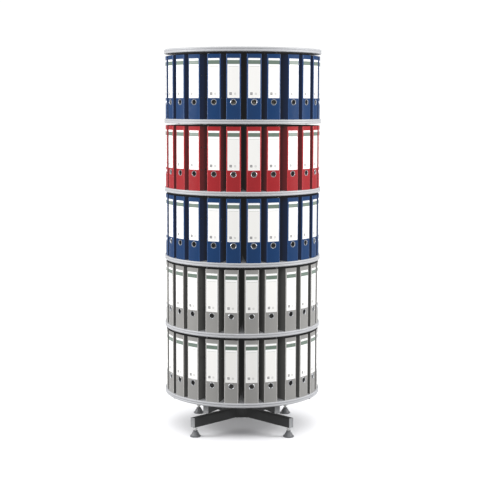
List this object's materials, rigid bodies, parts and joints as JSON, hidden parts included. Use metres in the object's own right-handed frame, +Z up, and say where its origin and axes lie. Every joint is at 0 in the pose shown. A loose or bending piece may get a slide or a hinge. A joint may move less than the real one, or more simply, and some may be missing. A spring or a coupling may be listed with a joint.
{
  "type": "rotary filing cabinet",
  "caption": "Round floor-standing filing column with stacked tiers that turn separately, each ringed with lever-arch files, on a cross foot with levelling pads.",
  "frame": {"origin": "on the floor, on the column's axis", "axes": "+Z up the column; the camera's side is -Y"},
  "size_m": [0.81, 0.81, 1.972],
  "materials": {
    "pale_board": "satin",
    "dark_steel": "satin",
    "divider_steel": "matt",
    "pale_plastic": "matt",
    "grey_plastic": "matt",
    "white_plastic": "matt",
    "bright_steel": "satin",
    "blue_file": "satin",
    "red_file": "satin",
    "grey_file": "satin"
  },
  "bodies": {
    "base": {"base_cross": "dark_steel", "arm_end_plugs": "pale_plastic", "foot_nuts": "bright_steel", "foot_pads": "grey_plastic", "column_tube": "dark_steel", "top_spider": "dark_steel", "top_disc": "pale_board", "clamp_collars": "dark_steel", "thrust_washers": "white_plastic"},
    "levelling_stud_1": {"levelling_stud_1": "bright_steel"},
    "levelling_stud_2": {"levelling_stud_2": "bright_steel"},
    "levelling_stud_3": {"levelling_stud_3": "bright_steel"},
    "levelling_stud_4": {"levelling_stud_4": "bright_steel"},
    "tier_1": {"disc_1": "pale_board", "star": "dark_steel", "star_end_plugs": "pale_plastic", "dividers_1": "divider_steel", "divider_edges_1": "pale_plastic", "files_1": "grey_file"},
    "pulled_file_1": {"pulled_file_1": "grey_file"},
    "tier_2": {"disc_2": "pale_board", "spider_2": "dark_steel", "dividers_2": "divider_steel", "divider_edges_2": "pale_plastic", "files_2": "grey_file"},
    "pulled_file_2": {"pulled_file_2": "grey_file"},
    "tier_3": {"disc_3": "pale_board", "spider_3": "dark_steel", "dividers_3": "divider_steel", "divider_edges_3": "pale_plastic", "files_3": "blue_file"},
    "pulled_file_3": {"pulled_file_3": "blue_file"},
    "tier_4": {"disc_4": "pale_board", "spider_4": "dark_steel", "dividers_4": "divider_steel", "divider_edges_4": "pale_plastic", "files_4": "red_file"},
    "pulled_file_4": {"pulled_file_4": "red_file"},
    "tier_5": {"disc_5": "pale_board", "spider_5": "dark_steel", "dividers_5": "divider_steel", "divider_edges_5": "pale_plastic", "files_5": "blue_file"},
    "pulled_file_5": {"pulled_file_5": "blue_file"}
  },
  "joints": [
    {"name": "stud_1_turn", "type": "hinge", "parent": "base", "child": "levelling_stud_1", "pos_m": [0.2383, -0.2383, 0.04], "axis": [0, 0, 1], "continuous": true},
    {"name": "stud_2_turn", "type": "hinge", "parent": "base", "child": "levelling_stud_2", "pos_m": [0.2383, 0.2383, 0.04], "axis": [0, 0, 1], "continuous": true},
    {"name": "stud_3_turn", "type": "hinge", "parent": "base", "child": "levelling_stud_3", "pos_m": [-0.2383, 0.2383, 0.04], "axis": [0, 0, 1], "continuous": true},
    {"name": "stud_4_turn", "type": "hinge", "parent": "base", "child": "levelling_stud_4", "pos_m": [-0.2383, -0.2383, 0.04], "axis": [0, 0, 1], "continuous": true},
    {"name": "tier_1_turn", "type": "hinge", "parent": "base", "child": "tier_1", "pos_m": [0, 0, 0.212], "axis": [0, 0, 1], "continuous": true},
    {"name": "file_1_pull", "type": "slide", "parent": "tier_1", "child": "pulled_file_1", "axis": [0.1193, -0.9929, 0], "range_m": [0, 0.3]},
    {"name": "tier_2_turn", "type": "hinge", "parent": "base", "child": "tier_2", "pos_m": [0, 0, 0.564], "axis": [0, 0, 1], "continuous": true},
    {"name": "file_2_pull", "type": "slide", "parent": "tier_2", "child": "pulled_file_2", "axis": [0.1193, -0.9929, 0], "range_m": [0, 0.3]},
    {"name": "tier_3_turn", "type": "hinge", "parent": "base", "child": "tier_3", "pos_m": [0, 0, 0.916], "axis": [0, 0, 1], "continuous": true},
    {"name": "file_3_pull", "type": "slide", "parent": "tier_3", "child": "pulled_file_3", "axis": [0.1418, -0.9899, 0], "range_m": [0, 0.3]},
    {"name": "tier_4_turn", "type": "hinge", "parent": "base", "child": "tier_4", "pos_m": [0, 0, 1.268], "axis": [0, 0, 1], "continuous": true},
    {"name": "file_4_pull", "type": "slide", "parent": "tier_4", "child": "pulled_file_4", "axis": [0.14, -0.9901, 0], "range_m": [0, 0.3]},
    {"name": "tier_5_turn", "type": "hinge", "parent": "base", "child": "tier_5", "pos_m": [0, 0, 1.62], "axis": [0, 0, 1], "continuous": true},
    {"name": "file_5_pull", "type": "slide", "parent": "tier_5", "child": "pulled_file_5", "axis": [0.14, -0.9901, 0], "range_m": [0, 0.3]}
  ]
}
